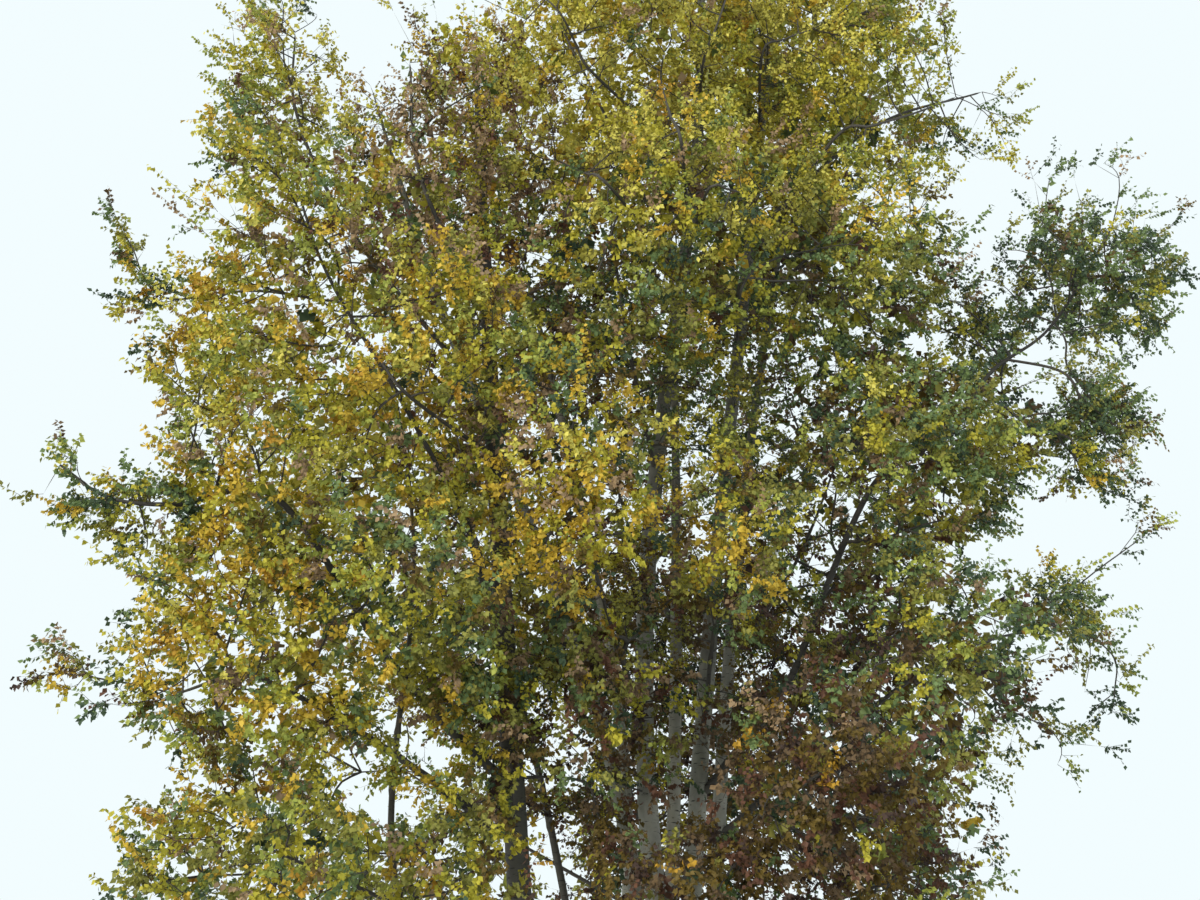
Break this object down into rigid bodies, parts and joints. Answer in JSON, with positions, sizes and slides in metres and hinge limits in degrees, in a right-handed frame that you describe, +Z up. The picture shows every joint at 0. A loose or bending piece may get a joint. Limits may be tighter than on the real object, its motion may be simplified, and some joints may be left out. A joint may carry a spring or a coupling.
{
  "type": "poplar tree",
  "caption": "Many-stemmed poplar clump in autumn leaf, with a broad gapped crown of green, gold and brown foliage.",
  "frame": {"origin": "middle of the flat cut at ground level, between the stems, on the mount named ground", "axes": "+Z up along the stems; -Y towards the side the picture shows; +X to the right in the picture"},
  "size_m": [14.2616, 9.4845, 17.9473],
  "materials": {
    "bark_pale": "smooth pale grey-green bark with dark scars, matt",
    "bark_dark": "darker ridged bark, matt",
    "twig": "dark twigs, matt",
    "leaves_gold": "gold autumn leaves, satin",
    "leaves_green": "green autumn leaves, satin",
    "leaves_olive": "olive autumn leaves, satin",
    "leaves_brown": "brown autumn leaves, matt"
  },
  "bodies": {
    "root": {"root_collar": "bark_pale", "stem_front": "bark_pale", "stem_right": "bark_pale", "stem_left": "bark_pale", "stem_dark": "bark_dark", "stem_behind_right": "bark_pale", "stem_behind": "bark_pale", "stem_behind_left": "bark_pale", "stem_slender": "bark_pale", "stem_shoot": "bark_pale", "bough_left_skirt": "bark_pale", "bough_left_low": "bark_pale", "bough_left_middle": "bark_pale", "bough_inner_left": "bark_pale", "bough_gold_front": "bark_pale", "bough_centre": "bark_pale", "bough_brown_low": "bark_pale", "bough_right_skirt": "bark_pale", "bough_right_low": "bark_pale", "bough_right_middle": "bark_pale", "bough_back_low": "bark_pale", "foliage_dome_top": "leaves_green", "foliage_dome": "leaves_gold", "foliage_left_middle": "leaves_gold", "foliage_left_low": "leaves_gold", "foliage_left_skirt": "leaves_gold", "foliage_left_spray": "leaves_green", "foliage_left_low_spray": "leaves_green", "foliage_top": "leaves_olive", "foliage_upper_left": "leaves_brown", "foliage_upper_middle": "leaves_olive", "foliage_upper_right": "leaves_olive", "foliage_upper_right_tip": "leaves_olive", "foliage_right_high": "leaves_olive", "foliage_centre_high": "leaves_olive", "foliage_arm_top": "leaves_green", "foliage_arm": "leaves_green", "foliage_arm_under": "leaves_green", "foliage_low_arm": "leaves_green", "foliage_right_middle": "leaves_olive", "foliage_right_low": "leaves_olive", "foliage_brown_low": "leaves_brown", "foliage_right_skirt": "leaves_olive", "foliage_inner_left": "leaves_gold", "foliage_inner_left_low": "leaves_gold", "foliage_inner_skirt": "leaves_gold", "foliage_gold_front": "leaves_gold", "foliage_centre": "leaves_gold", "foliage_centre_skirt": "leaves_brown", "foliage_back_high": "leaves_olive", "foliage_back_high_left": "leaves_green", "foliage_back_middle_left": "leaves_green", "foliage_back_middle": "leaves_olive", "foliage_back_middle_right": "leaves_olive", "foliage_back_low_left": "leaves_gold", "foliage_back_low": "leaves_olive", "foliage_back_low_right": "leaves_olive", "foliage_centre_low": "leaves_olive"}
  },
  "joints": []
}
